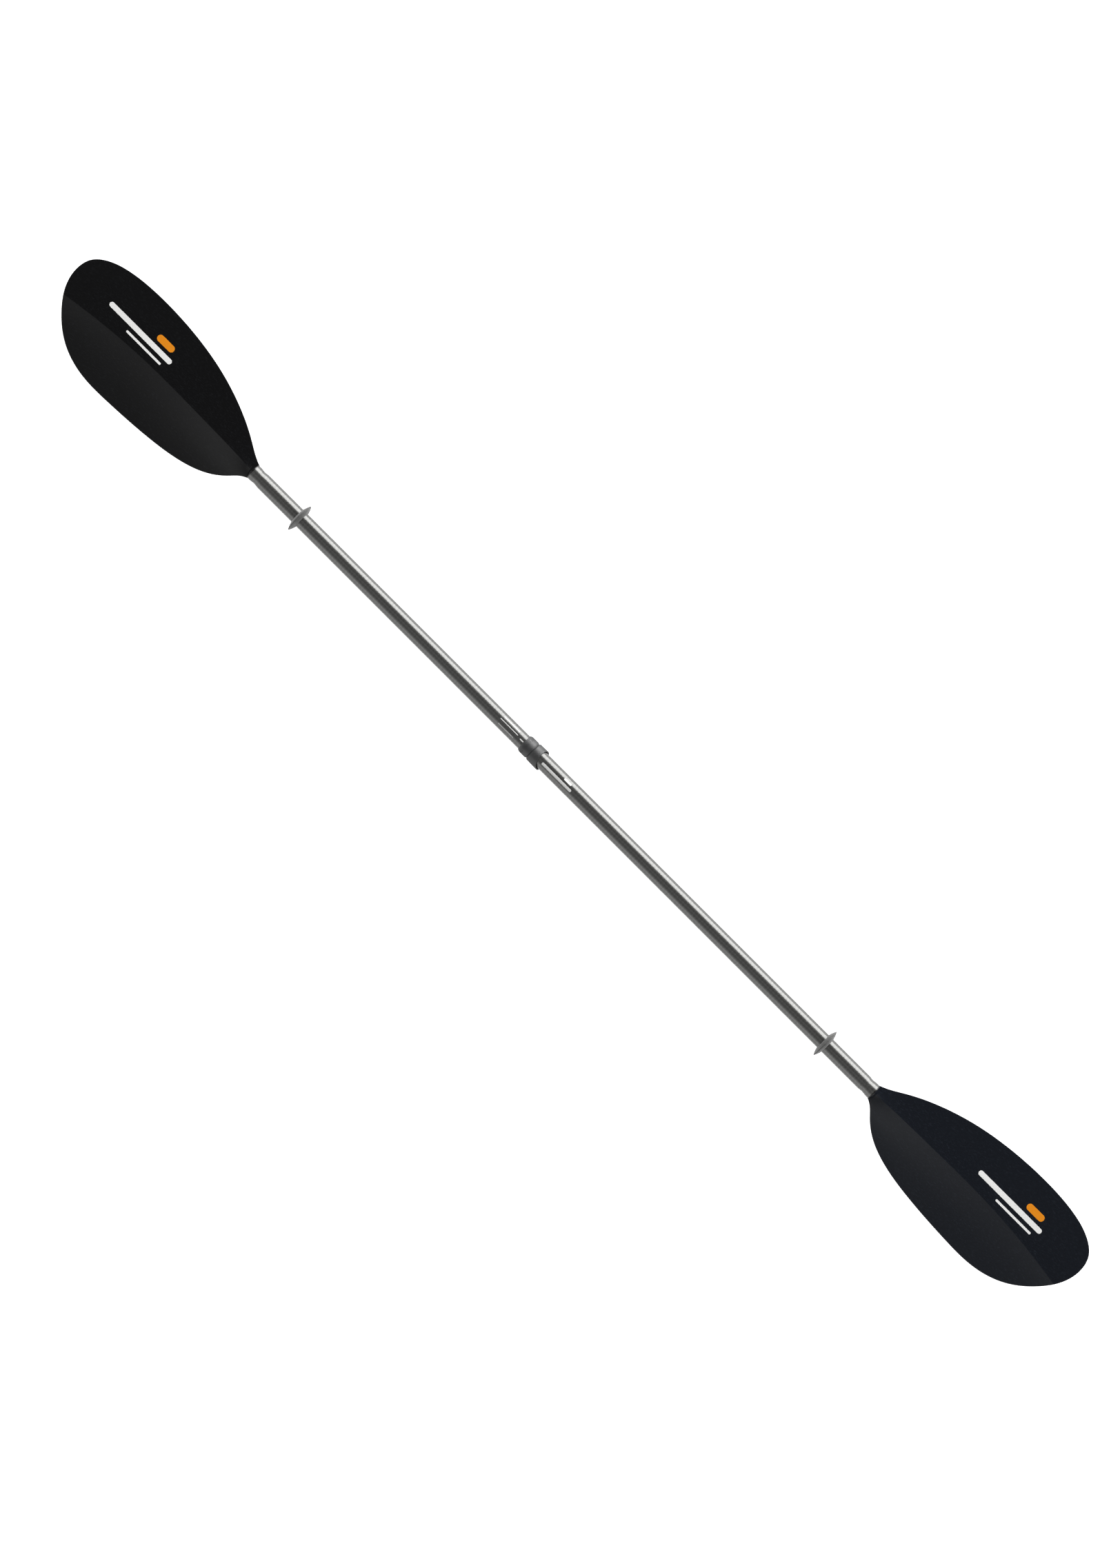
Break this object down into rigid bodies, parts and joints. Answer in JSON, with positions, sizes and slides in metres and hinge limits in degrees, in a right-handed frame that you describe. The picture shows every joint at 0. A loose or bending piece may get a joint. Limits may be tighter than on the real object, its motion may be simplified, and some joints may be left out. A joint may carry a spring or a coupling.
{
  "type": "kayak paddle",
  "caption": "Two-piece kayak paddle: mirrored asymmetric dihedral blades, round carbon shaft, drip rings, and an off-centre ferrule with an indexed feather collar and snap button.",
  "frame": {"origin": "on the shaft's axis, at the middle of the paddle's length", "axes": "+X along the shaft towards the right blade, +Y to the blades' longer edges, +Z out of the power faces"},
  "size_m": [2.3002, 0.1832, 0.053],
  "materials": {
    "blade_nylon": "moulded carbon-filled nylon, fine satin texture",
    "carbon_tube": "wound carbon fibre under clear coat",
    "collar_plastic": "moulded nylon, satin",
    "ring_rubber": "moulded soft rubber",
    "seal_rubber": "moulded rubber",
    "stainless": "stamped stainless steel",
    "foam": "closed-cell foam"
  },
  "bodies": {
    "left_half": {"left_blade": "blade_nylon", "left_shaft": "carbon_tube", "index_hub": "collar_plastic", "click_ring": "stainless", "collar_bush": "collar_plastic", "thrust_washer": "stainless", "left_foam_plug": "foam"},
    "index_collar_set": {"index_collar": "collar_plastic", "collar_clip": "stainless"},
    "right_half": {"male_ferrule": "collar_plastic", "spigot_seal": "seal_rubber", "ferrule_collar": "collar_plastic", "button_spring": "stainless", "right_foam_plug": "foam", "right_shaft": "carbon_tube", "right_blade": "blade_nylon"},
    "button": {"snap_button": "stainless"},
    "left_ring": {"left_drip_ring": "ring_rubber"},
    "right_ring": {"right_drip_ring": "ring_rubber"}
  },
  "joints": [
    {"name": "feather_turn", "type": "hinge", "parent": "left_half", "child": "index_collar_set", "pos_m": [-0.0852, 0, 0], "axis": [1, 0, 0], "range_deg": [-60, 60], "deforming": ["click_ring"]},
    {"name": "halves_pull", "type": "slide", "parent": "index_collar_set", "child": "right_half", "axis": [1, 0, 0], "range_m": [0, 0.12]},
    {"name": "button_press", "type": "slide", "parent": "right_half", "child": "button", "axis": [0, 0, 1], "range_m": [0, 0.0047], "stiffness_N_per_m": 700, "springref_m": -0.003, "deforming": ["button_spring"]},
    {"name": "left_ring_slide", "type": "slide", "parent": "left_half", "child": "left_ring", "axis": [1, 0, 0], "range_m": [-0.0943, 0.5084]},
    {"name": "right_ring_slide", "type": "slide", "parent": "right_half", "child": "right_ring", "axis": [1, 0, 0], "range_m": [-0.63216, 0.0983]}
  ]
}
